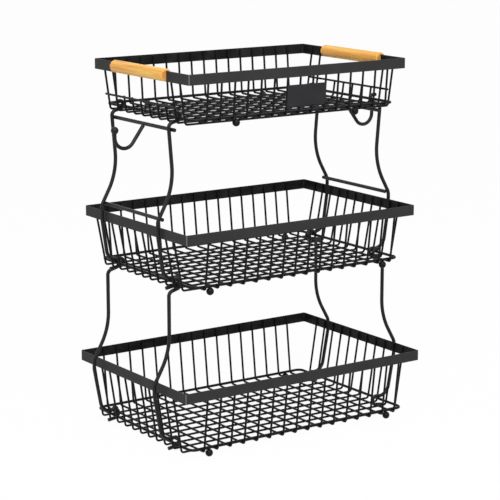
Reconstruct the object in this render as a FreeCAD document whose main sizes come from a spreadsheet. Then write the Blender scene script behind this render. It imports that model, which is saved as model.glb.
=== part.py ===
import FreeCAD, Part
import math
import os
import Sketcher

# Tiered wire basket: three wire baskets of falling size, held one above the other by bent rod legs.
# Millimetres. The floor is z = 0, X runs along the long side and the front is towards -Y.

doc = FreeCAD.newDocument("TieredWireBasket")

SIZES = [
    # Level of each basket's floor above the one below
    ("tier_pitch", 216.6),
    # Rim strip
    ("band_height", 14.0),
    ("band_thick", 1.2),
    ("band_corner", 2.0),
    # Base rod ring
    ("ring_dia", 3.8),
    ("ring_corner", 8.5),
    # Basket wires
    ("wire_dia", 2.9),
    ("wire_end_drop", 2.0),
    ("wire_kink_drop", 1.0),
    ("wire_kink_bend", 6.0),
    ("side_wire_bend", 4.0),
    ("cradle_shift", 0.7),
    # Welded pieces lie this far apart
    ("weld_gap", 0.05),
    # Balls on feet and hooks
    ("ball_dia", 10.2),
    ("foot_height", 5.0),
    # Bottom basket
    ("bottom_rim_length", 389.9),
    ("bottom_rim_width", 271.3),
    ("bottom_height", 95.5),
    ("bottom_ring_length", 353.6),
    ("bottom_ring_width", 241.6),
    ("bottom_cradle_count", 16),
    ("bottom_cradle_span", 320.0),
    ("bottom_side_count", 11),
    ("bottom_side_span", 203.7),
    ("bottom_side_shift", 0.0),
    ("bottom_foot_span", 298.6),
    # Middle basket
    ("middle_rim_length", 375.9),
    ("middle_rim_width", 257.7),
    ("middle_height", 86.0),
    ("middle_ring_length", 338.6),
    ("middle_ring_width", 230.2),
    ("middle_cradle_count", 16),
    ("middle_cradle_span", 306.7),
    ("middle_side_count", 11),
    ("middle_side_span", 195.2),
    ("middle_side_shift", 2.6),
    ("middle_foot_span", 286.3),
    # Top basket
    ("top_rim_length", 352.3),
    ("top_rim_width", 236.3),
    ("top_height", 72.9),
    ("top_ring_length", 324.8),
    ("top_ring_width", 215.8),
    ("top_cradle_count", 15),
    ("top_cradle_span", 291.4),
    ("top_side_pitch", 20.75),
    ("top_full_count", 2),
    ("top_short_count", 6),
    ("top_foot_span", 194.0),
    # Hand gap in the short sides of the top basket
    ("grip_height", 26.8),
    ("grip_length", 179.7),
    ("grip_shift", 4.65),
    # Wooden handles
    ("handle_dia", 16.8),
    ("handle_end_gap", 6.2),
    ("handle_ease", 2.5),
    ("slot_clearance", 0.1),
    # Blank plate
    ("plate_length", 62.4),
    ("plate_height", 28.7),
    ("plate_thick", 1.0),
    ("plate_shift", 10.4),
    ("plate_drop", 10.05),
    # Legs, shared sizes
    ("leg_dia", 5.0),
    ("leg_waist_bend", 90.0),
    ("leg_kink_bend", 16.0),
    ("clip_straight", 0.4),
    ("head_slope", 0.268),
    ("head_tip_reach", 3.5),
    ("head_shoulder_bend", 7.0),
    ("foot_slope", 0.14),
    ("foot_shoulder_bend", 16.0),
    ("foot_seat_past", 2.5),
    # Legs between the middle and the top basket
    ("upper_front_leg_y", -66.1),
    ("upper_back_leg_y", 76.65),
    ("upper_head_drop", 4.61),
    ("upper_head_depth", 6.0),
    ("upper_head_bend", 4.4),
    ("upper_shoulder", 11.8),
    ("upper_waist_out", 4.7),
    ("upper_waist_rise", 52.4),
    ("upper_kink_out", 3.65),
    ("upper_kink_rise", 8.9),
    ("upper_wall_drop", 11.6),
    ("upper_foot_depth", 10.5),
    ("upper_foot_bend", 5.0),
    ("upper_foot_tip_reach", 10.7),
    # Legs between the bottom and the middle basket
    ("lower_front_leg_y", -71.15),
    ("lower_back_leg_y", 85.5),
    ("lower_head_drop", 9.9),
    ("lower_head_depth", 8.0),
    ("lower_head_bend", 5.9),
    ("lower_shoulder", 9.4),
    ("lower_waist_out", 9.3),
    ("lower_waist_rise", 40.0),
    ("lower_kink_out", 7.65),
    ("lower_kink_rise", -1.8),
    ("lower_wall_drop", 15.5),
    ("lower_foot_depth", 12.0),
    ("lower_foot_bend", 6.1),
    ("lower_foot_tip_reach", 4.5),
    # Crossbars
    ("bar_dia", 5.0),
    ("upper_bar_overhang", 6.0),
    ("upper_bar_drop", 15.65),
    ("lower_bar_overhang", 1.0),
    ("lower_bar_rise", 10.4),
    # Hooks on the upper crossbars
    ("hook_dia", 5.0),
    ("hook_y", 2.3),
    ("hook_out", 45.5),
    ("hook_slope", 0.75),
    ("hook_bend", 15.1),
    ("hook_rise", 7.7),
    ("hook_socket_depth", 3.0),
]

sheet = doc.addObject("Spreadsheet::Sheet", "Sizes")
for row, (alias, size) in enumerate(SIZES, start=1):
    sheet.set("A%d" % row, alias)
    sheet.set("B%d" % row, str(size))
    sheet.setAlias("B%d" % row, alias)
doc.recompute()

LEVEL = {"bottom": "0", "middle": "Sizes.tier_pitch", "top": "2 * Sizes.tier_pitch"}
RING_LEVEL = "(Sizes.foot_height + (Sizes.ball_dia + Sizes.ring_dia) / 2 + Sizes.weld_gap)"
RING_TO_WIRE = "((Sizes.ring_dia + Sizes.wire_dia) / 2 + Sizes.weld_gap)"
RING_TO_LEG = "((Sizes.ring_dia + Sizes.leg_dia) / 2 + Sizes.weld_gap)"
BAND_TO_WIRE = "(Sizes.band_thick + Sizes.wire_dia / 2 + Sizes.weld_gap)"
LEG_TO_BAR = "((Sizes.leg_dia + Sizes.bar_dia) / 2 + Sizes.weld_gap)"
CRADLE_FLOOR = "(%s - %s)" % (RING_LEVEL, RING_TO_WIRE)
SIDE_FLOOR = "(%s - Sizes.wire_dia - Sizes.weld_gap)" % CRADLE_FLOOR
FULL_START = "Sizes.top_side_pitch * (Sizes.top_short_count + 1) / 2"
HANDLE_LENGTH = "2 * (%s - Sizes.wire_dia / 2 - Sizes.handle_end_gap)" % FULL_START
PLATE_LEVEL = "(Sizes.top_height - Sizes.band_height - Sizes.plate_drop - Sizes.plate_height / 2)"
UPPER_BAR = "(%s + %s - Sizes.upper_bar_drop)" % (LEVEL["top"], RING_LEVEL)
LOWER_BAR = "(%s + Sizes.middle_height + Sizes.lower_bar_rise)" % LEVEL["middle"]

exported = []


def value(expression):
    """Number that a sheet expression gives now."""
    return float(sheet.evalExpression(expression))


def keep(thing):
    """Mark a finished piece for its own file."""
    exported.append(thing)
    return thing


def place(thing, axis, expression):
    """Bind one coordinate of a piece's position to the sheet."""
    thing.setExpression("Placement.Base.%s" % axis, expression)


def new_body(name):
    """Empty body for one piece."""
    body = doc.addObject("PartDesign::Body", name)
    body.Label = name
    return body


def origin_item(body, role):
    """Origin plane or axis of a body."""
    for item in body.Origin.OriginFeatures:
        if item.Role == role:
            return item
    raise ValueError(role)


def new_sketch(body, name, plane, offset="0"):
    """Sketch on one of the body's own origin planes, moved along the plane's normal."""
    sketch = body.newObject("Sketcher::SketchObject", name)
    sketch.AttachmentSupport = [(origin_item(body, plane), "")]
    sketch.MapMode = "FlatFace"
    sketch.setExpression("AttachmentOffset.Base.z", offset)
    return sketch


def bind(sketch, expression, *constraint):
    """Add a sized constraint and bind it to the sheet."""
    index = sketch.addConstraint(Sketcher.Constraint(*constraint, value(expression)))
    sketch.setExpression("Constraints[%d]" % index, expression)


def pinned_point(sketch, across, along):
    """Construction point at a bound position."""
    spot = FreeCAD.Vector(value(across), value(along), 0)
    point = sketch.addGeometry(Part.Point(spot), True)
    bind(sketch, across, "DistanceX", -1, 1, point, 1)
    bind(sketch, along, "DistanceY", -1, 1, point, 1)
    return point, spot


def corner_arc(before, corner, after, radius):
    """Arc that rounds a corner, with its ends in path order and the sketch's names for them."""
    arrive = (corner - before).normalize()
    leave = (after - corner).normalize()
    turn = arrive.x * leave.y - arrive.y * leave.x
    reach = radius * math.tan(arrive.getAngle(leave) / 2)
    start = corner - arrive * reach
    end = corner + leave * reach
    side = 1 if turn > 0 else -1
    centre = start + FreeCAD.Vector(-arrive.y, arrive.x, 0) * (radius * side)
    angles = [math.atan2(spot.y - centre.y, spot.x - centre.x) for spot in (start, end)]
    if side < 0:
        angles.reverse()
    circle = Part.Circle(centre, FreeCAD.Vector(0, 0, 1), radius)
    arc = Part.ArcOfCircle(circle, angles[0], angles[1])
    ends = (1, 2) if side > 0 else (2, 1)
    return arc, start, end, ends


def bent_path(sketch, corners, bends):
    """Straight runs between bound corners, with a rounded bend at each inner corner."""
    pins = [pinned_point(sketch, across, along) for across, along in corners]
    spots = [spot for pin, spot in pins]
    arcs = []
    for index, bend in enumerate(bends, start=1):
        arcs.append(corner_arc(spots[index - 1], spots[index], spots[index + 1], value(bend)))
    starts = [spots[0]] + [end for arc, start, end, ends in arcs]
    stops = [start for arc, start, end, ends in arcs] + [spots[-1]]
    runs = []
    for start, stop in zip(starts, stops):
        runs.append(sketch.addGeometry(Part.LineSegment(start, stop), False))
    sketch.addConstraint(Sketcher.Constraint("Coincident", runs[0], 1, pins[0][0], 1))
    sketch.addConstraint(Sketcher.Constraint("Coincident", runs[-1], 2, pins[-1][0], 1))
    for index, bend in enumerate(bends):
        arc, start, end, ends = arcs[index]
        curve = sketch.addGeometry(arc, False)
        pin = pins[index + 1][0]
        sketch.addConstraint(Sketcher.Constraint("PointOnObject", pin, 1, runs[index]))
        sketch.addConstraint(Sketcher.Constraint("PointOnObject", pin, 1, runs[index + 1]))
        sketch.addConstraint(Sketcher.Constraint("Tangent", runs[index], 2, curve, ends[0]))
        sketch.addConstraint(Sketcher.Constraint("Tangent", runs[index + 1], 1, curve, ends[1]))
        bind(sketch, bend, "Radius", curve)


def round_profile(sketch, across, along, diameter):
    """Circle of a rod's diameter, centred on the start of its path."""
    centre = FreeCAD.Vector(value(across), value(along), 0)
    radius = "%s / 2" % diameter
    circle = sketch.addGeometry(Part.Circle(centre, FreeCAD.Vector(0, 0, 1), value(radius)), False)
    bind(sketch, across, "DistanceX", -1, 1, circle, 3)
    bind(sketch, along, "DistanceY", -1, 1, circle, 3)
    bind(sketch, radius, "Radius", circle)


def block_profile(sketch, left, right, low, high):
    """Rectangle between four bound edges."""
    edges = [value(edge) for edge in (left, right, low, high)]
    spots = [(edges[0], edges[2]), (edges[1], edges[2]), (edges[1], edges[3]), (edges[0], edges[3])]
    spots = [FreeCAD.Vector(across, along, 0) for across, along in spots]
    lines = []
    for index in range(4):
        lines.append(sketch.addGeometry(Part.LineSegment(spots[index], spots[(index + 1) % 4]), False))
    for index in range(4):
        following = lines[(index + 1) % 4]
        sketch.addConstraint(Sketcher.Constraint("Coincident", lines[index], 2, following, 1))
    for index in (0, 2):
        sketch.addConstraint(Sketcher.Constraint("Horizontal", lines[index]))
        sketch.addConstraint(Sketcher.Constraint("Vertical", lines[index + 1]))
    bind(sketch, left, "DistanceX", -1, 1, lines[0], 1)
    bind(sketch, low, "DistanceY", -1, 1, lines[0], 1)
    bind(sketch, right, "DistanceX", -1, 1, lines[2], 1)
    bind(sketch, high, "DistanceY", -1, 1, lines[2], 1)


def sweep(body, profile, path):
    """Rod or strip that follows a path."""
    doc.recompute()
    pipe = body.newObject("PartDesign::AdditivePipe", body.Name + "_run")
    pipe.Profile = profile
    pipe.Spine = (path, ["Edge%d" % (index + 1) for index in range(len(path.Shape.Edges))])
    body.Tip = pipe
    doc.recompute()
    return pipe


def repeat(body, feature, axis, span, count):
    """Row of equal wires along one axis of the body."""
    row = body.newObject("PartDesign::LinearPattern", body.Name + "_row")
    row.Originals = [feature]
    row.Direction = (origin_item(body, axis), [""])
    row.setExpression("Length", span)
    row.setExpression("Occurrences", count)
    body.Tip = row
    doc.recompute()


def loop_corners(length, width):
    """Corners of a closed rectangle, starting and ending at the middle of its front side."""
    right = "(%s) / 2" % length
    back = "(%s) / 2" % width
    left = "-%s" % right
    front = "-%s" % back
    return [("0", front), (right, front), (right, back), (left, back), (left, front), ("0", front)]


def rim_band(tier):
    """Flat strip bent into the rim of a basket."""
    body = new_body("%s_rim_band" % tier)
    length = "Sizes.%s_rim_length - Sizes.band_thick" % tier
    width = "Sizes.%s_rim_width - Sizes.band_thick" % tier
    path = new_sketch(body, body.Name + "_path", "XY_Plane")
    bent_path(path, loop_corners(length, width), ["Sizes.band_corner"] * 4)
    strip = new_sketch(body, body.Name + "_strip", "YZ_Plane")
    outer = "-Sizes.%s_rim_width / 2" % tier
    block_profile(strip, outer, outer + " + Sizes.band_thick", "0", "Sizes.band_height")
    sweep(body, strip, path)
    place(body, "z", "%s + Sizes.%s_height - Sizes.band_height" % (LEVEL[tier], tier))
    return keep(body)


def base_ring(tier):
    """Rod bent into the ring that the basket's wires and feet are welded to."""
    body = new_body("%s_base_ring" % tier)
    length = "Sizes.%s_ring_length" % tier
    width = "Sizes.%s_ring_width" % tier
    path = new_sketch(body, body.Name + "_path", "XY_Plane")
    bent_path(path, loop_corners(length, width), ["Sizes.ring_corner"] * 4)
    rod = new_sketch(body, body.Name + "_rod", "YZ_Plane")
    round_profile(rod, "-%s / 2" % width, "0", "Sizes.ring_dia")
    sweep(body, rod, path)
    place(body, "z", "%s + %s" % (LEVEL[tier], RING_LEVEL))
    return keep(body)


def wall_line(tier, direction, floor):
    """Reach of a basket wall at the rim and at the floor, and the height of its kink under the rim."""
    reach_top = "(Sizes.%s_rim_%s / 2 - %s)" % (tier, direction, BAND_TO_WIRE)
    reach_floor = "(Sizes.%s_ring_%s / 2 + %s)" % (tier, direction, RING_TO_WIRE)
    kink = "(Sizes.%s_height - Sizes.band_height - Sizes.wire_kink_drop)" % tier
    slope = "((%s - %s) / (%s - %s))" % (reach_top, reach_floor, kink, floor)
    return reach_top, reach_floor, kink, slope


def u_corners(tier, direction, floor):
    """Corners of a wire that goes down one wall, under the floor and up the other wall."""
    reach_top, reach_floor, kink, slope = wall_line(tier, direction, floor)
    top = "Sizes.%s_height - Sizes.wire_end_drop" % tier
    half = [(reach_top, top), (reach_top, kink), (reach_floor, floor)]
    return [("-" + reach, height) for reach, height in half] + half[::-1]


def wire_row(name, tier, plane, corners, bends, axis, start, span, count):
    """Row of equal bent wires that stand in parallel planes."""
    body = new_body(name)
    path = new_sketch(body, name + "_path", plane)
    bent_path(path, corners, bends)
    reach, height = corners[0]
    rod = new_sketch(body, name + "_rod", "XY_Plane", height)
    spot = ("0", reach) if plane == "YZ_Plane" else (reach, "0")
    round_profile(rod, spot[0], spot[1], "Sizes.wire_dia")
    wire = sweep(body, rod, path)
    repeat(body, wire, axis + "_Axis", span, count)
    place(body, axis.lower(), start)
    place(body, "z", LEVEL[tier])
    return keep(body)


def cradle_wires(tier):
    """Wires that run from front to back."""
    corners = u_corners(tier, "width", CRADLE_FLOOR)
    bends = ["Sizes.wire_kink_bend", RING_TO_WIRE, RING_TO_WIRE, "Sizes.wire_kink_bend"]
    span = "Sizes.%s_cradle_span" % tier
    count = "Sizes.%s_cradle_count" % tier
    name = "%s_front_back_wires" % tier
    start = "Sizes.cradle_shift - %s / 2" % span
    return wire_row(name, tier, "YZ_Plane", corners, bends, "X", start, span, count)


def side_wires(name, tier, start, span, count):
    """Full wires that run from side to side under the front to back wires."""
    corners = u_corners(tier, "length", SIDE_FLOOR)
    bends = ["Sizes.wire_kink_bend", "Sizes.side_wire_bend"]
    return wire_row(name, tier, "XZ_Plane", corners, bends + bends[::-1], "Y", start, span, count)


def short_side_wires():
    """Side to side wires of the top basket that stop at the grip wires."""
    reach_top, reach_floor, kink, slope = wall_line("top", "length", SIDE_FLOOR)
    end = "(Sizes.grip_height + Sizes.wire_dia / 2)"
    reach = "(%s + %s * (%s - %s))" % (reach_floor, slope, end, SIDE_FLOOR)
    half = [(reach, end), (reach_floor, SIDE_FLOOR)]
    corners = [("-" + out, height) for out, height in half] + half[::-1]
    bends = ["Sizes.side_wire_bend"] * 2
    span = "Sizes.top_side_pitch * (Sizes.top_short_count - 1)"
    start = "-(%s) / 2" % span
    name = "top_side_side_short_wires"
    return wire_row(name, "top", "XZ_Plane", corners, bends, "Y", start, span, "Sizes.top_short_count")


def rod_along_y(name, diameter, length):
    """Straight round rod that lies along Y."""
    rod = doc.addObject("Part::Cylinder", name)
    rod.Label = name
    rod.setExpression("Radius", "%s / 2" % diameter)
    rod.setExpression("Height", length)
    rod.Placement = FreeCAD.Placement(FreeCAD.Vector(), FreeCAD.Rotation(FreeCAD.Vector(1, 0, 0), -90))
    return keep(rod)


def grip_wire(name, side):
    """Straight wire across the cut ends of the short wires."""
    reach_top, reach_floor, kink, slope = wall_line("top", "length", SIDE_FLOOR)
    wall = "%s + %s * (Sizes.grip_height - %s)" % (reach_floor, slope, SIDE_FLOOR)
    outward = "(Sizes.wire_dia + Sizes.weld_gap) * sqrt(1 + %s ^ 2)" % slope
    wire = rod_along_y(name, "Sizes.wire_dia", "Sizes.grip_length")
    place(wire, "x", "%d * (%s + %s)" % (side, wall, outward))
    place(wire, "y", "Sizes.grip_shift - Sizes.grip_length / 2")
    place(wire, "z", "%s + Sizes.grip_height" % LEVEL["top"])
    return wire


def ball_foot(name, tier, side_x, side_y):
    """Ball welded under the base ring, with a small flat where it stands."""
    ball = doc.addObject("Part::Sphere", name)
    ball.Label = name
    ball.setExpression("Radius", "Sizes.ball_dia / 2")
    ball.setExpression("Angle1", "-asin(2 * Sizes.foot_height / Sizes.ball_dia)")
    place(ball, "x", "%d * Sizes.%s_foot_span / 2" % (side_x, tier))
    place(ball, "y", "%d * Sizes.%s_ring_width / 2" % (side_y, tier))
    place(ball, "z", "%s + Sizes.foot_height" % LEVEL[tier])
    return keep(ball)


def basket(tier):
    """Pieces that every basket has."""
    rim_band(tier)
    base_ring(tier)
    cradle_wires(tier)
    for side_y, end in ((-1, "front"), (1, "back")):
        for side_x, hand in ((-1, "left"), (1, "right")):
            ball_foot("%s_foot_%s_%s" % (tier, end, hand), tier, side_x, side_y)


def wooden_handle(name, side):
    """Dowel with eased ends and a slot that fits over the rim strip from above."""
    body = new_body(name)
    section = new_sketch(body, name + "_section", "XZ_Plane")
    round_profile(section, "0", "0", "Sizes.handle_dia")
    doc.recompute()
    dowel = body.newObject("PartDesign::Pad", name + "_dowel")
    dowel.Profile = section
    dowel.SideType = "Symmetric"
    dowel.setExpression("Length", HANDLE_LENGTH)
    body.Tip = dowel
    doc.recompute()
    rims = []
    for index, edge in enumerate(dowel.Shape.Edges, start=1):
        if edge.isClosed():
            rims.append("Edge%d" % index)
    ease = body.newObject("PartDesign::Fillet", name + "_ease")
    ease.Base = (dowel, rims)
    ease.setExpression("Radius", "Sizes.handle_ease")
    body.Tip = ease
    doc.recompute()
    slot_sketch = new_sketch(body, name + "_slot_section", "XZ_Plane")
    half = "(Sizes.band_thick / 2 + Sizes.slot_clearance)"
    roof = "Sizes.band_height + Sizes.slot_clearance - Sizes.handle_dia / 2"
    block_profile(slot_sketch, "-" + half, half, "-Sizes.handle_dia", roof)
    doc.recompute()
    slot = body.newObject("PartDesign::Pocket", name + "_slot")
    slot.Profile = slot_sketch
    slot.SideType = "Symmetric"
    slot.setExpression("Length", "2 * %s" % HANDLE_LENGTH)
    body.Tip = slot
    place(body, "x", "%d * (Sizes.top_rim_length - Sizes.band_thick) / 2" % side)
    rim_low = "%s + Sizes.top_height - Sizes.band_height" % LEVEL["top"]
    place(body, "z", "%s + Sizes.handle_dia / 2" % rim_low)
    return keep(body)


def blank_plate():
    """Thin plate that leans on the front wires of the top basket."""
    name = "top_blank_plate"
    reach_top, reach_floor, kink, slope = wall_line("top", "width", CRADLE_FLOOR)
    wall = "%s + %s * (%s - %s)" % (reach_floor, slope, PLATE_LEVEL, CRADLE_FLOOR)
    outward = "(Sizes.wire_dia / 2 + Sizes.weld_gap + Sizes.plate_thick) * sqrt(1 + %s ^ 2)" % slope
    lean = math.degrees(math.atan(value(slope)))
    turn = FreeCAD.Rotation(FreeCAD.Vector(1, 0, 0), lean)
    middle_x = value("Sizes.plate_shift")
    middle_y = -value("%s + %s" % (wall, outward))
    middle_z = value("%s + %s" % (LEVEL["top"], PLATE_LEVEL))
    corner = FreeCAD.Vector(-value("Sizes.plate_length") / 2, 0, -value("Sizes.plate_height") / 2)
    plate = doc.addObject("Part::Box", name)
    plate.Label = name
    plate.setExpression("Length", "Sizes.plate_length")
    plate.setExpression("Width", "Sizes.plate_thick")
    plate.setExpression("Height", "Sizes.plate_height")
    base = FreeCAD.Vector(middle_x, middle_y, middle_z) + turn.multVec(corner)
    plate.Placement = FreeCAD.Placement(base, turn)
    return keep(plate)


def leg_corners(upper, lower, frame):
    """Reach and height of each corner of a leg, from its upper tip to its lower tip."""
    own = "Sizes.%s_" % frame
    head_reach = "Sizes.%s_ring_length / 2" % upper
    foot_reach = "Sizes.%s_ring_length / 2" % lower
    head_pitch = "(2 * %shead_bend + Sizes.clip_straight)" % own
    foot_pitch = "(2 * %sfoot_bend + Sizes.clip_straight)" % own
    arm = "(%s + %s - %shead_drop)" % (LEVEL[upper], RING_LEVEL, own)
    arm_in = "(%s + Sizes.head_slope * %shead_depth)" % (arm, own)
    arm_out = "(%s - Sizes.head_slope * %sshoulder)" % (arm, own)
    rim_reach = "(Sizes.%s_rim_length / 2 + %skink_out)" % (lower, own)
    rim_top = "%s + Sizes.%s_height" % (LEVEL[lower], lower)
    lift = "%s * sqrt(1 + Sizes.foot_slope ^ 2)" % RING_TO_LEG
    seat = "(%s + %s + %s)" % (LEVEL[lower], RING_LEVEL, lift)
    seat_in = "(%s + Sizes.foot_slope * %sfoot_depth)" % (seat, own)
    seat_past = "(Sizes.foot_shoulder_bend - Sizes.foot_seat_past)"
    seat_out = "(%s - Sizes.foot_slope * %s)" % (seat, seat_past)
    stub_in = "(%s - %s)" % (seat_in, foot_pitch)
    stub_out = "(%s - Sizes.foot_slope * (%sfoot_depth + %sfoot_tip_reach))" % (stub_in, own, own)
    return [
        (head_reach + " + Sizes.head_tip_reach", "%s + %s" % (arm_in, head_pitch)),
        ("%s - %shead_depth" % (head_reach, own), "%s + %s" % (arm_in, head_pitch)),
        ("%s - %shead_depth" % (head_reach, own), arm_in),
        ("%s + %sshoulder" % (head_reach, own), arm_out),
        ("%s + %swaist_out" % (head_reach, own), "%s + %swaist_rise" % (rim_top, own)),
        (rim_reach, "%s + %skink_rise" % (rim_top, own)),
        (rim_reach, "%s - %swall_drop" % (rim_top, own)),
        ("%s + %s" % (foot_reach, seat_past), seat_out),
        ("%s - %sfoot_depth" % (foot_reach, own), seat_in),
        ("%s - %sfoot_depth" % (foot_reach, own), stub_in),
        ("%s + %sfoot_tip_reach" % (foot_reach, own), stub_out),
    ]


def leg_bends(frame):
    """Bend radius at each inner corner of a leg."""
    head = "Sizes.%s_head_bend" % frame
    foot = "Sizes.%s_foot_bend" % frame
    middle = ["Sizes.head_shoulder_bend", "Sizes.leg_waist_bend", "Sizes.leg_kink_bend"]
    middle += ["Sizes.leg_kink_bend", "Sizes.foot_shoulder_bend"]
    return [head, head] + middle + [foot, foot]


def leg(name, corners, bends, side, depth):
    """Bent rod that clips round the ring above and round the ring below."""
    body = new_body(name)
    corners = [("%d * (%s)" % (side, reach), height) for reach, height in corners]
    path = new_sketch(body, name + "_path", "XZ_Plane")
    bent_path(path, corners, bends)
    tip_reach, tip_height = corners[0]
    rod = new_sketch(body, name + "_rod", "YZ_Plane", tip_reach)
    round_profile(rod, "0", tip_height, "Sizes.leg_dia")
    sweep(body, rod, path)
    place(body, "y", depth)
    return keep(body)


def bar_reach(high, low, height):
    """Reach of a crossbar that lies on the inner side of the straight run between two leg corners."""
    slope = "((%s - (%s)) / (%s - (%s)))" % (high[0], low[0], high[1], low[1])
    run = "%s + %s * (%s - (%s))" % (low[0], slope, height, low[1])
    return "(%s - %s * sqrt(1 + %s ^ 2))" % (run, LEG_TO_BAR, slope)


def crossbar(name, side, reach, height, overhang):
    """Straight rod welded across a front and a back leg."""
    start = "(Sizes.upper_front_leg_y - %s)" % overhang
    length = "Sizes.upper_back_leg_y + %s - %s" % (overhang, start)
    bar = rod_along_y(name, "Sizes.bar_dia", length)
    place(bar, "x", "%d * %s" % (side, reach))
    place(bar, "y", start)
    place(bar, "z", height)
    return bar


def hook_line(reach):
    """Reach of a hook's upright end, height of its corner and height of its tip."""
    out = "(%s + Sizes.hook_out)" % reach
    corner = "(%s - Sizes.hook_out / Sizes.hook_slope)" % UPPER_BAR
    run_up = "(Sizes.hook_bend * Sizes.hook_slope / (sqrt(1 + Sizes.hook_slope ^ 2) - 1))"
    tip = "(%s + %s + Sizes.hook_rise)" % (corner, run_up)
    return out, corner, tip


def open_hook(name, side, reach):
    """Rod that leaves the upper crossbar outwards and curls up to its ball."""
    out, corner, tip = hook_line(reach)
    start_down = "((Sizes.bar_dia / 2 + Sizes.weld_gap) / sqrt(1 + Sizes.hook_slope ^ 2))"
    start_out = "(%s + %s * Sizes.hook_slope)" % (reach, start_down)
    corners = [(out, tip), (out, corner), (start_out, "%s - %s" % (UPPER_BAR, start_down))]
    corners = [("%d * %s" % (side, across), height) for across, height in corners]
    body = new_body(name)
    path = new_sketch(body, name + "_path", "XZ_Plane")
    bent_path(path, corners, ["Sizes.hook_bend"])
    rod = new_sketch(body, name + "_rod", "XY_Plane", tip)
    round_profile(rod, corners[0][0], "0", "Sizes.hook_dia")
    sweep(body, rod, path)
    place(body, "y", "Sizes.hook_y")
    return keep(body)


def hook_ball(name, side, reach):
    """Ball with a blind hole that takes the end of the hook."""
    out, corner, tip = hook_line(reach)
    ball = doc.addObject("Part::Sphere", name + "_round")
    ball.setExpression("Radius", "Sizes.ball_dia / 2")
    hole = doc.addObject("Part::Cylinder", name + "_hole")
    hole.setExpression("Radius", "Sizes.hook_dia / 2 + Sizes.weld_gap")
    hole.setExpression("Height", "Sizes.ball_dia / 2 + Sizes.hook_socket_depth + Sizes.weld_gap")
    place(hole, "z", "-Sizes.ball_dia")
    drilled = doc.addObject("Part::Cut", name)
    drilled.Label = name
    drilled.Base = ball
    drilled.Tool = hole
    place(drilled, "x", "%d * %s" % (side, out))
    place(drilled, "y", "Sizes.hook_y")
    place(drilled, "z", "%s + Sizes.ball_dia / 2 - Sizes.hook_socket_depth" % tip)
    return keep(drilled)


def upper_frame(hand, side):
    """Legs, crossbars and hook on one side between the middle and the top basket."""
    corners = leg_corners("top", "middle", "upper")
    bends = leg_bends("upper")
    leg("upper_leg_front_%s" % hand, corners, bends, side, "Sizes.upper_front_leg_y")
    leg("upper_leg_back_%s" % hand, corners, bends, side, "Sizes.upper_back_leg_y")
    shoulder, waist, kink = corners[3:6]
    high_reach = bar_reach(shoulder, waist, UPPER_BAR)
    low_reach = bar_reach(waist, kink, LOWER_BAR)
    crossbar("upper_crossbar_%s" % hand, side, high_reach, UPPER_BAR, "Sizes.upper_bar_overhang")
    crossbar("lower_crossbar_%s" % hand, side, low_reach, LOWER_BAR, "Sizes.lower_bar_overhang")
    open_hook("side_hook_%s" % hand, side, high_reach)
    hook_ball("side_hook_ball_%s" % hand, side, high_reach)


def lower_frame(hand, side):
    """Legs on one side between the bottom and the middle basket."""
    corners = leg_corners("middle", "bottom", "lower")
    bends = leg_bends("lower")
    leg("lower_leg_front_%s" % hand, corners, bends, side, "Sizes.lower_front_leg_y")
    leg("lower_leg_back_%s" % hand, corners, bends, side, "Sizes.lower_back_leg_y")


for tier in ("bottom", "middle", "top"):
    basket(tier)

for tier in ("bottom", "middle"):
    span = "Sizes.%s_side_span" % tier
    start = "Sizes.%s_side_shift - %s / 2" % (tier, span)
    side_wires("%s_side_side_wires" % tier, tier, start, span, "Sizes.%s_side_count" % tier)

full_span = "Sizes.top_side_pitch * (Sizes.top_full_count - 1)"
side_wires("top_side_side_wires_back", "top", FULL_START, full_span, "Sizes.top_full_count")
front_start = "-(%s + %s)" % (FULL_START, full_span)
side_wires("top_side_side_wires_front", "top", front_start, full_span, "Sizes.top_full_count")
short_side_wires()
blank_plate()

for hand, side in (("left", -1), ("right", 1)):
    grip_wire("top_grip_wire_%s" % hand, side)
    wooden_handle("handle_%s" % hand, side)
    upper_frame(hand, side)
    lower_frame(hand, side)

doc.recompute()

for item in doc.Objects:
    if "Invalid" in item.State or "Error" in item.State:
        raise RuntimeError("%s: %s" % (item.Label, item.State))

os.makedirs("parts", exist_ok=True)
for piece in exported:
    if piece.Shape.isNull() or not piece.Shape.isValid():
        raise RuntimeError("bad shape: " + piece.Label)
    piece.Shape.exportStep("parts/%s.step" % piece.Label)
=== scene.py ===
import logging
import math
from dataclasses import dataclass
from enum import Enum

import bpy
from mathutils import Euler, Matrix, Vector

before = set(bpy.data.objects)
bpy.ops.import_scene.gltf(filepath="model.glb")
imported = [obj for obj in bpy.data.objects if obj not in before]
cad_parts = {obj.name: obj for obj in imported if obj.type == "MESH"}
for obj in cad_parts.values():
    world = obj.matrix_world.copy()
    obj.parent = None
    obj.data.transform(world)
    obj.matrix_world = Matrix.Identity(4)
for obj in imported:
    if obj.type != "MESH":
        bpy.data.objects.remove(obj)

log = logging.getLogger("tiered_wire_basket")

MM = 0.001

# The standard curve from sRGB to linear light.
SRGB_KNEE = 0.04045
SRGB_SLOPE = 12.92
SRGB_OFFSET = 0.055
SRGB_POWER = 2.4

# Math and mix nodes have sockets that share a name, so these are taken by number.
FIRST, SECOND = 0, 1
SHARE, UNDER, OVER, MIXED = 0, 6, 7, 2
SHADER_UNDER, SHADER_OVER = 1, 2


class Tier(Enum):
    """The three baskets, from the table upwards."""

    BOTTOM = "bottom"
    MIDDLE = "middle"
    TOP = "top"


class Row(Enum):
    """The two long sides."""

    FRONT = "front"
    BACK = "back"


class Side(Enum):
    """The two short sides, as seen from the front."""

    LEFT = "left"
    RIGHT = "right"


class Storey(Enum):
    """The two sets of legs between the baskets."""

    LOWER = "lower"
    UPPER = "upper"


class Stock(Enum):
    """What a steel piece is made from, which changes how its coat looks."""

    STRIP = "strip"
    PLATE = "plate"
    WIRE = "wire"
    ROD = "rod"


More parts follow.
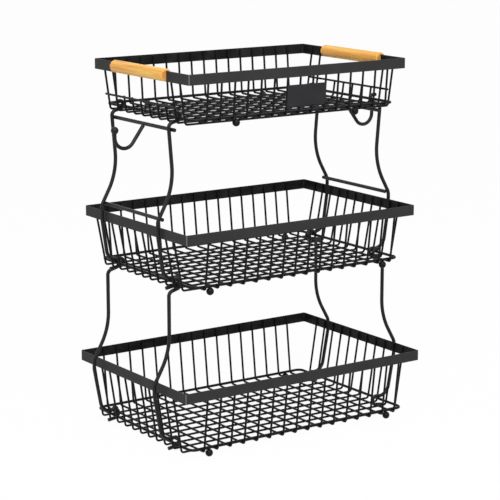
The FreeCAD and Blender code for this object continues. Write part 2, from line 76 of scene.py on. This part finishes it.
def linear(hex_colour: str) -> tuple[float, float, float, float]:
    """Turn an sRGB hex colour into linear RGBA.

    Args:
        hex_colour: Six hex digits with a leading hash.

    Returns:
        Linear red, green, blue and an alpha of 1.
    """
    channels = [int(hex_colour[start:start + 2], 16) / 255 for start in (1, 3, 5)]
    flat = [channel / SRGB_SLOPE if channel <= SRGB_KNEE
            else ((channel + SRGB_OFFSET) / (1 + SRGB_OFFSET)) ** SRGB_POWER
            for channel in channels]
    return (*flat, 1.0)


def add_node(tree: bpy.types.NodeTree, kind: str, settings: dict, links: dict) -> bpy.types.Node:
    """Add one node with its settings and incoming links.

    Args:
        tree: Node tree that takes the node.
        kind: Blender's type name of the node.
        settings: Property name, input name or input number to value.
        links: Input name or number to the output socket that feeds it.

    Returns:
        The new node.
    """
    node = tree.nodes.new(kind)
    for name, setting in settings.items():
        if isinstance(name, int) or name in node.inputs:
            node.inputs[name].default_value = setting
        else:
            setattr(node, name, setting)
    for name, source in links.items():
        tree.links.new(source, node.inputs[name])
    return node


def empty_material(name: str) -> bpy.types.Material:
    """Start a material with no nodes in it.

    Args:
        name: Name of the real material.

    Returns:
        The empty material.
    """
    material = bpy.data.materials.new(name)
    material.use_nodes = True
    material.node_tree.nodes.clear()
    return material


@dataclass(frozen=True)
class PowderCoat:
    """Black polyester powder, sprayed and baked on mild steel."""

    name: str
    colour: str
    thin_colour: str
    # Painted shade: the colour of faces turned to the middle of the rack.
    inner_shade_colour: str
    # Painted highlight: the colour of the upright bends of a strip.
    bend_highlight_colour: str
    roughness: float
    specular: float
    # Thick film is this much rougher, and thin film this much smoother.
    thick_rougher: float = 0.04
    thin_smoother: float = 0.06
    # The peel of a real coat is about 0.8 mm across; it is drawn coarser so that it shows.
    peel_mm: float = 2.2
    peel_depth_mm: float = 0.03
    cloud_mm: float = 28.0
    noise_detail: float = 2.0
    # Levels of the noise where a cloud starts and is full, and the most that it thins the film.
    cloud_span: tuple[float, float] = (0.35, 0.75)
    cloud_most: float = 0.45
    # The normal's upward part where an edge starts to thin and is full, and the most it thins.
    upturned_span: tuple[float, float] = (0.8, 1.0)
    upturned_most: float = 0.8
    # A face counts in full as outer or inner when its plane lies this far from the frame's origin.
    outer_blend_mm: float = 20.0
    # Product of the normal's X and Y parts where the painted highlight starts and is full: 0 on a
    # strip's flat faces and 0.5 in the middle of a bend.
    bend_span: tuple[float, float] = (0.36, 0.47)
    # Share of the painted bend highlight that inner faces get.
    inner_highlight: float = 0.2

    def thin_share(self, tree: bpy.types.NodeTree, place: bpy.types.Node,
                   facing: bpy.types.Node) -> bpy.types.NodeSocket:
        """Find where the coat lies thin: in faint clouds and on upturned edges.

        Args:
            tree: Node tree that takes the nodes.
            place: Texture coordinates of the piece.
            facing: The surface normal's three parts.

        Returns:
            The share of thin film, from 0 to 1.
        """
        cloud = add_node(tree, "ShaderNodeTexNoise",
                         {"Scale": 1 / (self.cloud_mm * MM), "Detail": self.noise_detail},
                         {"Vector": place.outputs["Object"]})
        clouded = add_node(tree, "ShaderNodeMapRange",
                           {"From Min": self.cloud_span[0], "From Max": self.cloud_span[1],
                            "To Max": self.cloud_most},
                           {"Value": cloud.outputs["Fac"]})
        upturned = add_node(tree, "ShaderNodeMapRange",
                            {"From Min": self.upturned_span[0], "From Max": self.upturned_span[1],
                             "To Max": self.upturned_most},
                            {"Value": facing.outputs["Z"]})
        thin = add_node(tree, "ShaderNodeMath", {"operation": "MAXIMUM"},
                        {FIRST: clouded.outputs["Result"], SECOND: upturned.outputs["Result"]})
        return thin.outputs["Value"]

    def outer_share(self, tree: bpy.types.NodeTree, place: bpy.types.Node) -> bpy.types.NodeSocket:
        """Tell faces turned away from the middle of the rack from those turned towards it.

        Args:
            tree: Node tree that takes the nodes.
            place: Texture coordinates of the piece.

        Returns:
            1 on outer faces and 0 on inner ones.
        """
        turned_out = add_node(tree, "ShaderNodeVectorMath", {"operation": "DOT_PRODUCT"},
                              {FIRST: place.outputs["Object"], SECOND: place.outputs["Normal"]})
        blend = self.outer_blend_mm * MM
        outer = add_node(tree, "ShaderNodeMapRange", {"From Min": -blend, "From Max": blend},
                         {"Value": turned_out.outputs["Value"]})
        return outer.outputs["Result"]

    def painted_bend_highlight(self, tree: bpy.types.NodeTree, facing: bpy.types.Node,
                     outer: bpy.types.NodeSocket) -> bpy.types.NodeSocket:
        """Find the upright bends of a strip, where a highlight is painted, most of all outside.

        Args:
            tree: Node tree that takes the nodes.
            facing: The surface normal's three parts.
            outer: 1 on outer faces and 0 on inner ones.

        Returns:
            The share of painted highlight, from 0 to 1.
        """
        diagonal = add_node(tree, "ShaderNodeMath", {"operation": "MULTIPLY"},
                            {FIRST: facing.outputs["X"], SECOND: facing.outputs["Y"]})
        turning = add_node(tree, "ShaderNodeMath", {"operation": "ABSOLUTE"},
                           {FIRST: diagonal.outputs["Value"]})
        bend = add_node(tree, "ShaderNodeMapRange",
                        {"From Min": self.bend_span[0], "From Max": self.bend_span[1]},
                        {"Value": turning.outputs["Value"]})
        highlight_side = add_node(tree, "ShaderNodeMapRange", {"To Min": self.inner_highlight},
                           {"Value": outer})
        highlight_mask = add_node(tree, "ShaderNodeMath", {"operation": "MULTIPLY"},
                          {FIRST: bend.outputs["Result"], SECOND: highlight_side.outputs["Result"]})
        return highlight_mask.outputs["Value"]

    def material(self) -> bpy.types.Material:
        """Make the coat's material.

        Returns:
            The material, ready to assign.
        """
        # A baked coat has a soft black sheen, a skin like fine orange peel, faint clouds where the
        # powder lies thinner, and a greyer, glossier film where it thins on upturned edges. Faces
        # turned to the middle of the rack are given a painted shade of deeper black, and the
        # upright bends of a strip a painted highlight, a lighter line.
        material = empty_material(self.name)
        tree = material.node_tree
        place = add_node(tree, "ShaderNodeTexCoord", {}, {})
        facing = add_node(tree, "ShaderNodeSeparateXYZ", {}, {"Vector": place.outputs["Normal"]})
        thin = self.thin_share(tree, place, facing)
        outer = self.outer_share(tree, place)
        # Painted shade: faces turned to the middle of the rack take the darker inner colour.
        coat = add_node(tree, "ShaderNodeMix",
                        {"data_type": "RGBA", UNDER: linear(self.inner_shade_colour),
                         OVER: linear(self.colour)},
                        {SHARE: outer})
        film = add_node(tree, "ShaderNodeMix",
                        {"data_type": "RGBA", OVER: linear(self.thin_colour)},
                        {SHARE: thin, UNDER: coat.outputs[MIXED]})
        # Painted highlight: a lighter line on the upright bends of a strip, strongest on outer
        # faces.
        highlighted = add_node(tree, "ShaderNodeMix",
                        {"data_type": "RGBA", OVER: linear(self.bend_highlight_colour)},
                        {SHARE: self.painted_bend_highlight(tree, facing, outer), UNDER: film.outputs[MIXED]})
        gloss = add_node(tree, "ShaderNodeMapRange",
                         {"To Min": self.roughness + self.thick_rougher,
                          "To Max": self.roughness - self.thin_smoother},
                         {"Value": thin})
        peel = add_node(tree, "ShaderNodeTexNoise",
                        {"Scale": 1 / (self.peel_mm * MM), "Detail": self.noise_detail},
                        {"Vector": place.outputs["Object"]})
        skin = add_node(tree, "ShaderNodeBump",
                        {"Strength": 1.0, "Distance": self.peel_depth_mm * MM},
                        {"Height": peel.outputs["Fac"]})
        shader = add_node(tree, "ShaderNodeBsdfPrincipled", {"Specular IOR Level": self.specular},
                          {"Base Color": highlighted.outputs[MIXED], "Roughness": gloss.outputs["Result"],
                           "Normal": skin.outputs["Normal"]})
        add_node(tree, "ShaderNodeOutputMaterial", {}, {"Surface": shader.outputs["BSDF"]})
        return material


@dataclass(frozen=True)
class VarnishedBeech:
    """Turned beech dowel under clear amber varnish."""

    name: str = "varnished_beech_dowel"
    dark: str = "#cf8a40"
    middle: str = "#efb052"
    light: str = "#fbcb6a"
    end_grain: str = "#c98a4a"
    streak_mm: float = 5.0
    streak_run_mm: float = 140.0
    streak_detail: float = 3.0
    # Levels of the streak noise that give dark, middle and light wood.
    dark_level: float = 0.28
    middle_level: float = 0.48
    light_level: float = 0.66
    # Beech flecks are about 0.5 mm wide; they are drawn wider so that they show.
    fleck_mm: float = 1.5
    fleck_run_mm: float = 32.0
    fleck_detail: float = 2.0
    # Levels of the fleck noise where a fleck starts and is full, and the most that it darkens.
    fleck_span: tuple[float, float] = (0.52, 0.72)
    fleck_most: float = 0.5
    pore_depth_mm: float = 0.06
    grain_waver: float = 0.12
    # The normal's part along the dowel where end grain starts and is full, and the most it shows.
    end_span: tuple[float, float] = (0.75, 0.98)
    end_most: float = 0.7
    roughness: float = 0.42
    fleck_rougher: float = 0.15
    specular: float = 0.25
    varnish_weight: float = 0.15
    varnish_roughness: float = 0.25

    def stretched_noise(self, tree: bpy.types.NodeTree, place: bpy.types.NodeSocket,
                        width_mm: float, run_mm: float, detail: float) -> bpy.types.NodeSocket:
        """Lay a noise along the dowel.

        Args:
            tree: Node tree that takes the nodes.
            place: Object coordinates.
            width_mm: Size of a mark across the grain.
            run_mm: Size of a mark along the grain.
            detail: Detail of the noise.

        Returns:
            The noise, from 0 to 1.
        """
        scale = [1 / (size * MM) for size in (width_mm, run_mm, width_mm)]
        along = add_node(tree, "ShaderNodeMapping", {"Scale": scale}, {"Vector": place})
        marks = add_node(tree, "ShaderNodeTexNoise",
                         {"Scale": 1.0, "Detail": detail, "Distortion": self.grain_waver},
                         {"Vector": along.outputs["Vector"]})
        return marks.outputs["Fac"]

    def material(self) -> bpy.types.Material:
        """Make the wood's material.

        Returns:
            The material, ready to assign.
        """
        # Beech shows long honey streaks and short dark flecks, and its cut ends drink more varnish.
        material = empty_material(self.name)
        tree = material.node_tree
        place = add_node(tree, "ShaderNodeTexCoord", {}, {})
        streak = self.stretched_noise(tree, place.outputs["Object"], self.streak_mm,
                                      self.streak_run_mm, self.streak_detail)
        ramp = add_node(tree, "ShaderNodeValToRGB", {}, {"Fac": streak})
        ramp.color_ramp.elements[0].position = self.dark_level
        ramp.color_ramp.elements[0].color = linear(self.dark)
        ramp.color_ramp.elements[1].position = self.light_level
        ramp.color_ramp.elements[1].color = linear(self.light)
        ramp.color_ramp.elements.new(self.middle_level).color = linear(self.middle)
        fleck = self.stretched_noise(tree, place.outputs["Object"], self.fleck_mm,
                                     self.fleck_run_mm, self.fleck_detail)
        fleck_share = add_node(tree, "ShaderNodeMapRange",
                               {"From Min": self.fleck_span[0], "From Max": self.fleck_span[1],
                                "To Max": self.fleck_most},
                               {"Value": fleck})
        grain = add_node(tree, "ShaderNodeMix", {"data_type": "RGBA", OVER: linear(self.dark)},
                         {SHARE: fleck_share.outputs["Result"], UNDER: ramp.outputs["Color"]})
        facing = add_node(tree, "ShaderNodeSeparateXYZ", {}, {"Vector": place.outputs["Normal"]})
        along = add_node(tree, "ShaderNodeMath", {"operation": "ABSOLUTE"},
                         {FIRST: facing.outputs["Y"]})
        end = add_node(tree, "ShaderNodeMapRange",
                       {"From Min": self.end_span[0], "From Max": self.end_span[1],
                        "To Max": self.end_most},
                       {"Value": along.outputs["Value"]})
        wood = add_node(tree, "ShaderNodeMix", {"data_type": "RGBA", OVER: linear(self.end_grain)},
                        {SHARE: end.outputs["Result"], UNDER: grain.outputs[MIXED]})
        gloss = add_node(tree, "ShaderNodeMapRange",
                         {"To Min": self.roughness, "To Max": self.roughness + self.fleck_rougher},
                         {"Value": fleck})
        pores = add_node(tree, "ShaderNodeBump",
                         {"Strength": 1.0, "Distance": self.pore_depth_mm * MM, "invert": True},
                         {"Height": fleck_share.outputs["Result"]})
        shader = add_node(tree, "ShaderNodeBsdfPrincipled",
                          {"Specular IOR Level": self.specular, "Coat Weight": self.varnish_weight,
                           "Coat Roughness": self.varnish_roughness},
                          {"Base Color": wood.outputs[MIXED], "Roughness": gloss.outputs["Result"],
                           "Normal": pores.outputs["Normal"]})
        add_node(tree, "ShaderNodeOutputMaterial", {}, {"Surface": shader.outputs["BSDF"]})
        return material


COATS = {
    # On strip and plate, the inner colour is painted shade.
    Stock.STRIP: PowderCoat(
        "black_powder_coat_on_strip", colour="#333334", thin_colour="#3d3d3e",
        # On strip, the bend colour is a painted highlight.
        inner_shade_colour="#161617", bend_highlight_colour="#6a6a6b", roughness=0.38, specular=0.07),
    Stock.PLATE: PowderCoat(
        "black_powder_coat_on_plate", colour="#2d2d2f", thin_colour="#363637",
        inner_shade_colour="#161617", bend_highlight_colour="#2d2d2f", roughness=0.38, specular=0.07),
    Stock.WIRE: PowderCoat(
        "black_powder_coat_on_wire", colour="#0c0c0d", thin_colour="#161617",
        inner_shade_colour="#0c0c0d", bend_highlight_colour="#0c0c0d", roughness=0.42, specular=0.15),
    Stock.ROD: PowderCoat(
        "black_powder_coat_on_rod", colour="#131314", thin_colour="#202021",
        inner_shade_colour="#131314", bend_highlight_colour="#131314", roughness=0.42, specular=0.25),
}
DOWEL_WOOD = VarnishedBeech()


@dataclass
class DressedNode:
    """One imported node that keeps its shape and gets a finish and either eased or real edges."""

    name: str
    finish: bpy.types.Material
    weld_mm: float = 0.002
    crease_deg: float = 46.0
    eased_mm: float = 0.0
    eased_steps: int = 2

    def build(self) -> None:
        """Put the finish on the node and shade it evenly up to its edges."""
        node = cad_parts[self.name]
        node.data.materials.clear()
        node.data.materials.append(self.finish)
        for face in node.data.polygons:
            face.use_smooth = True
        joined = node.modifiers.new("joined_faces", "WELD")
        joined.merge_threshold = self.weld_mm * MM
        if self.eased_mm:
            self.ease(node)
        else:
            edges = node.modifiers.new("real_edges", "EDGE_SPLIT")
            edges.split_angle = math.radians(self.crease_deg)
        log.info("%s finished as %s", self.name, self.finish.name)

    def ease(self, node: bpy.types.Object) -> None:
        """Round the sharp edges a little, as the coat does.

        Args:
            node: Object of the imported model.
        """
        eased = node.modifiers.new("eased_edges", "BEVEL")
        eased.width = self.eased_mm * MM
        eased.segments = self.eased_steps
        eased.limit_method = "ANGLE"
        eased.angle_limit = math.radians(self.crease_deg)
        flat = node.modifiers.new("flat_faces", "WEIGHTED_NORMAL")
        flat.keep_sharp = True


@dataclass
class WireBasket:
    """One basket: rim band, base ring, wires, ball feet and, where it has one, its plate."""

    tier: Tier
    coats: dict[Stock, bpy.types.Material]
    wire_sets: tuple[str, ...] = ("front_back_wires", "side_side_wires")
    has_plate: bool = False
    band_edge_mm: float = 0.25

    def build(self) -> None:
        """Finish every piece of the basket."""
        self.dress_strips()
        self.dress_wires()
        self.dress_feet()

    def dress_strips(self) -> None:
        """Coat the flat steel and ease its cut edges."""
        DressedNode(f"{self.tier.value}_rim_band", self.coats[Stock.STRIP],
                    eased_mm=self.band_edge_mm).build()
        if self.has_plate:
            DressedNode(f"{self.tier.value}_blank_plate", self.coats[Stock.PLATE],
                        eased_mm=self.band_edge_mm).build()

    def dress_wires(self) -> None:
        """Coat the ring and the wires."""
        for wire in ("base_ring", *self.wire_sets):
            DressedNode(f"{self.tier.value}_{wire}", self.coats[Stock.WIRE]).build()

    def dress_feet(self) -> None:
        """Coat the four ball feet."""
        for row in Row:
            for side in Side:
                foot = f"{self.tier.value}_foot_{row.value}_{side.value}"
                DressedNode(foot, self.coats[Stock.WIRE]).build()


@dataclass
class GripHandle:
    """One wooden handle, pushed over the top rim."""

    side: Side
    wood: bpy.types.Material
    crease_deg: float = 40.0

    def build(self) -> None:
        """Varnish the dowel."""
        DressedNode(f"handle_{self.side.value}", self.wood, crease_deg=self.crease_deg).build()


@dataclass
class SideFrame:
    """The legs of one storey on one side, with the crossbars and the hook where it has them."""

    storey: Storey
    side: Side
    coat: bpy.types.Material
    welded_on: tuple[str, ...] = ()

    def build(self) -> None:
        """Coat the legs and what is welded to them."""
        legs = [f"{self.storey.value}_leg_{row.value}" for row in Row]
        for piece in (*legs, *self.welded_on):
            DressedNode(f"{piece}_{self.side.value}", self.coat).build()


@dataclass(frozen=True)
class Softbox:
    """One square lamp with a cloth front."""

    name: str
    place_m: tuple[float, float, float]
    side_m: float
    watts: float


KEY_SOFTBOX = Softbox("key_softbox", place_m=(-0.9, -1.6, 2.0), side_m=1.4, watts=43.0)
TOP_SOFTBOX = Softbox("top_softbox", place_m=(-0.3, -0.2, 2.4), side_m=1.6, watts=8.0)


@dataclass
class Studio:
    """White table, plain soft light and the camera."""

    camera_mm: tuple[float, float, float] = (-1463.3, -2103.9, 782.1)
    camera_turn_deg: tuple[float, float, float] = (78.0406, -0.05, -34.8094)
    lens_mm: float = 135.77
    sensor_mm: float = 36.0
    white: str = "#ffffff"
    table_colour: str = "#f4f4f4"
    table_m: float = 60.0
    # Share of plain white in the table as the camera sees it; the rest takes shadow.
    table_glow: float = 0.97
    ambient: float = 0.42
    aim_m: tuple[float, float, float] = (0.0, 0.0, 0.25)

    def build(self) -> None:
        """Set up the world, table, lamps and camera."""
        bpy.context.scene.view_settings.view_transform = "Standard"
        self.sky()
        self.table()
        self.lamp(KEY_SOFTBOX)
        self.lamp(TOP_SOFTBOX)
        self.camera()

    def seen_directly(self, tree: bpy.types.NodeTree) -> bpy.types.NodeSocket:
        """Tell rays that should meet plain white from those that carry light.

        Args:
            tree: Node tree that takes the nodes.

        Returns:
            A socket that is 1 for camera, glossy and transmission rays.
        """
        path = add_node(tree, "ShaderNodeLightPath", {}, {})
        mirrored = add_node(tree, "ShaderNodeMath", {"operation": "MAXIMUM"},
                            {FIRST: path.outputs["Is Camera Ray"],
                             SECOND: path.outputs["Is Glossy Ray"]})
        clear = add_node(tree, "ShaderNodeMath", {"operation": "MAXIMUM"},
                         {FIRST: mirrored.outputs["Value"],
                          SECOND: path.outputs["Is Transmission Ray"]})
        return clear.outputs["Value"]

    def sky(self) -> None:
        """White surround that lights the rack evenly."""
        world = bpy.data.worlds.new("white_surround")
        bpy.context.scene.world = world
        world.use_nodes = True
        tree = world.node_tree
        tree.nodes.clear()
        strength = add_node(tree, "ShaderNodeMapRange", {"To Min": self.ambient},
                            {"Value": self.seen_directly(tree)})
        back = add_node(tree, "ShaderNodeBackground", {"Color": linear(self.white)},
                        {"Strength": strength.outputs["Result"]})
        add_node(tree, "ShaderNodeOutputWorld", {}, {"Surface": back.outputs["Background"]})

    def table(self) -> None:
        """White table top that keeps a trace of the rack's shadow."""
        bpy.ops.object.select_all(action="DESELECT")
        bpy.ops.mesh.primitive_plane_add(size=self.table_m)
        top = bpy.context.object
        top.name = "white_table"
        material = empty_material("white_laminate")
        tree = material.node_tree
        matt = add_node(tree, "ShaderNodeBsdfDiffuse", {"Color": linear(self.table_colour)}, {})
        glow = add_node(tree, "ShaderNodeEmission",
                        {"Color": linear(self.white), "Strength": 1.0}, {})
        share = add_node(tree, "ShaderNodeMath",
                         {"operation": "MULTIPLY", SECOND: self.table_glow},
                         {FIRST: self.seen_directly(tree)})
        mix = add_node(tree, "ShaderNodeMixShader", {},
                       {SHARE: share.outputs["Value"], SHADER_UNDER: matt.outputs["BSDF"],
                        SHADER_OVER: glow.outputs["Emission"]})
        add_node(tree, "ShaderNodeOutputMaterial", {}, {"Surface": mix.outputs["Shader"]})
        top.data.materials.append(material)

    def lamp(self, box: Softbox) -> None:
        """Add one soft box that faces the rack.

        Args:
            box: Place, size and power of the lamp.
        """
        data = bpy.data.lights.new(box.name, "AREA")
        data.shape = "SQUARE"
        data.size = box.side_m
        data.energy = box.watts
        lamp = bpy.data.objects.new(box.name, data)
        bpy.context.scene.collection.objects.link(lamp)
        lamp.location = box.place_m
        lamp.visible_camera = False
        aim = Vector(self.aim_m) - Vector(box.place_m)
        lamp.rotation_euler = aim.to_track_quat("-Z", "Y").to_euler()

    def camera(self) -> None:
        """Place the camera at the viewing angle of the photograph."""
        data = bpy.data.cameras.new("camera")
        data.lens = self.lens_mm
        data.sensor_width = self.sensor_mm
        eye = bpy.data.objects.new("camera", data)
        bpy.context.scene.collection.objects.link(eye)
        eye.location = [size * MM for size in self.camera_mm]
        eye.rotation_euler = Euler([math.radians(turn) for turn in self.camera_turn_deg])
        bpy.context.scene.camera = eye


TOP_WIRES = ("front_back_wires", "side_side_wires_front", "side_side_wires_back",
             "side_side_short_wires", "grip_wire_left", "grip_wire_right")
BARS_AND_HOOK = ("upper_crossbar", "lower_crossbar", "side_hook", "side_hook_ball")


def main() -> None:
    """Dress the rack from the table upwards and set up the studio."""
    logging.basicConfig(level=logging.INFO)
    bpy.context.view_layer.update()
    coats = {stock: coat.material() for stock, coat in COATS.items()}
    wood = DOWEL_WOOD.material()
    WireBasket(Tier.BOTTOM, coats).build()
    WireBasket(Tier.MIDDLE, coats).build()
    WireBasket(Tier.TOP, coats, TOP_WIRES, has_plate=True).build()
    for side in Side:
        SideFrame(Storey.LOWER, side, coats[Stock.ROD]).build()
        SideFrame(Storey.UPPER, side, coats[Stock.ROD], BARS_AND_HOOK).build()
        GripHandle(side, wood).build()
    Studio().build()


if __name__ == "__main__":
    main()
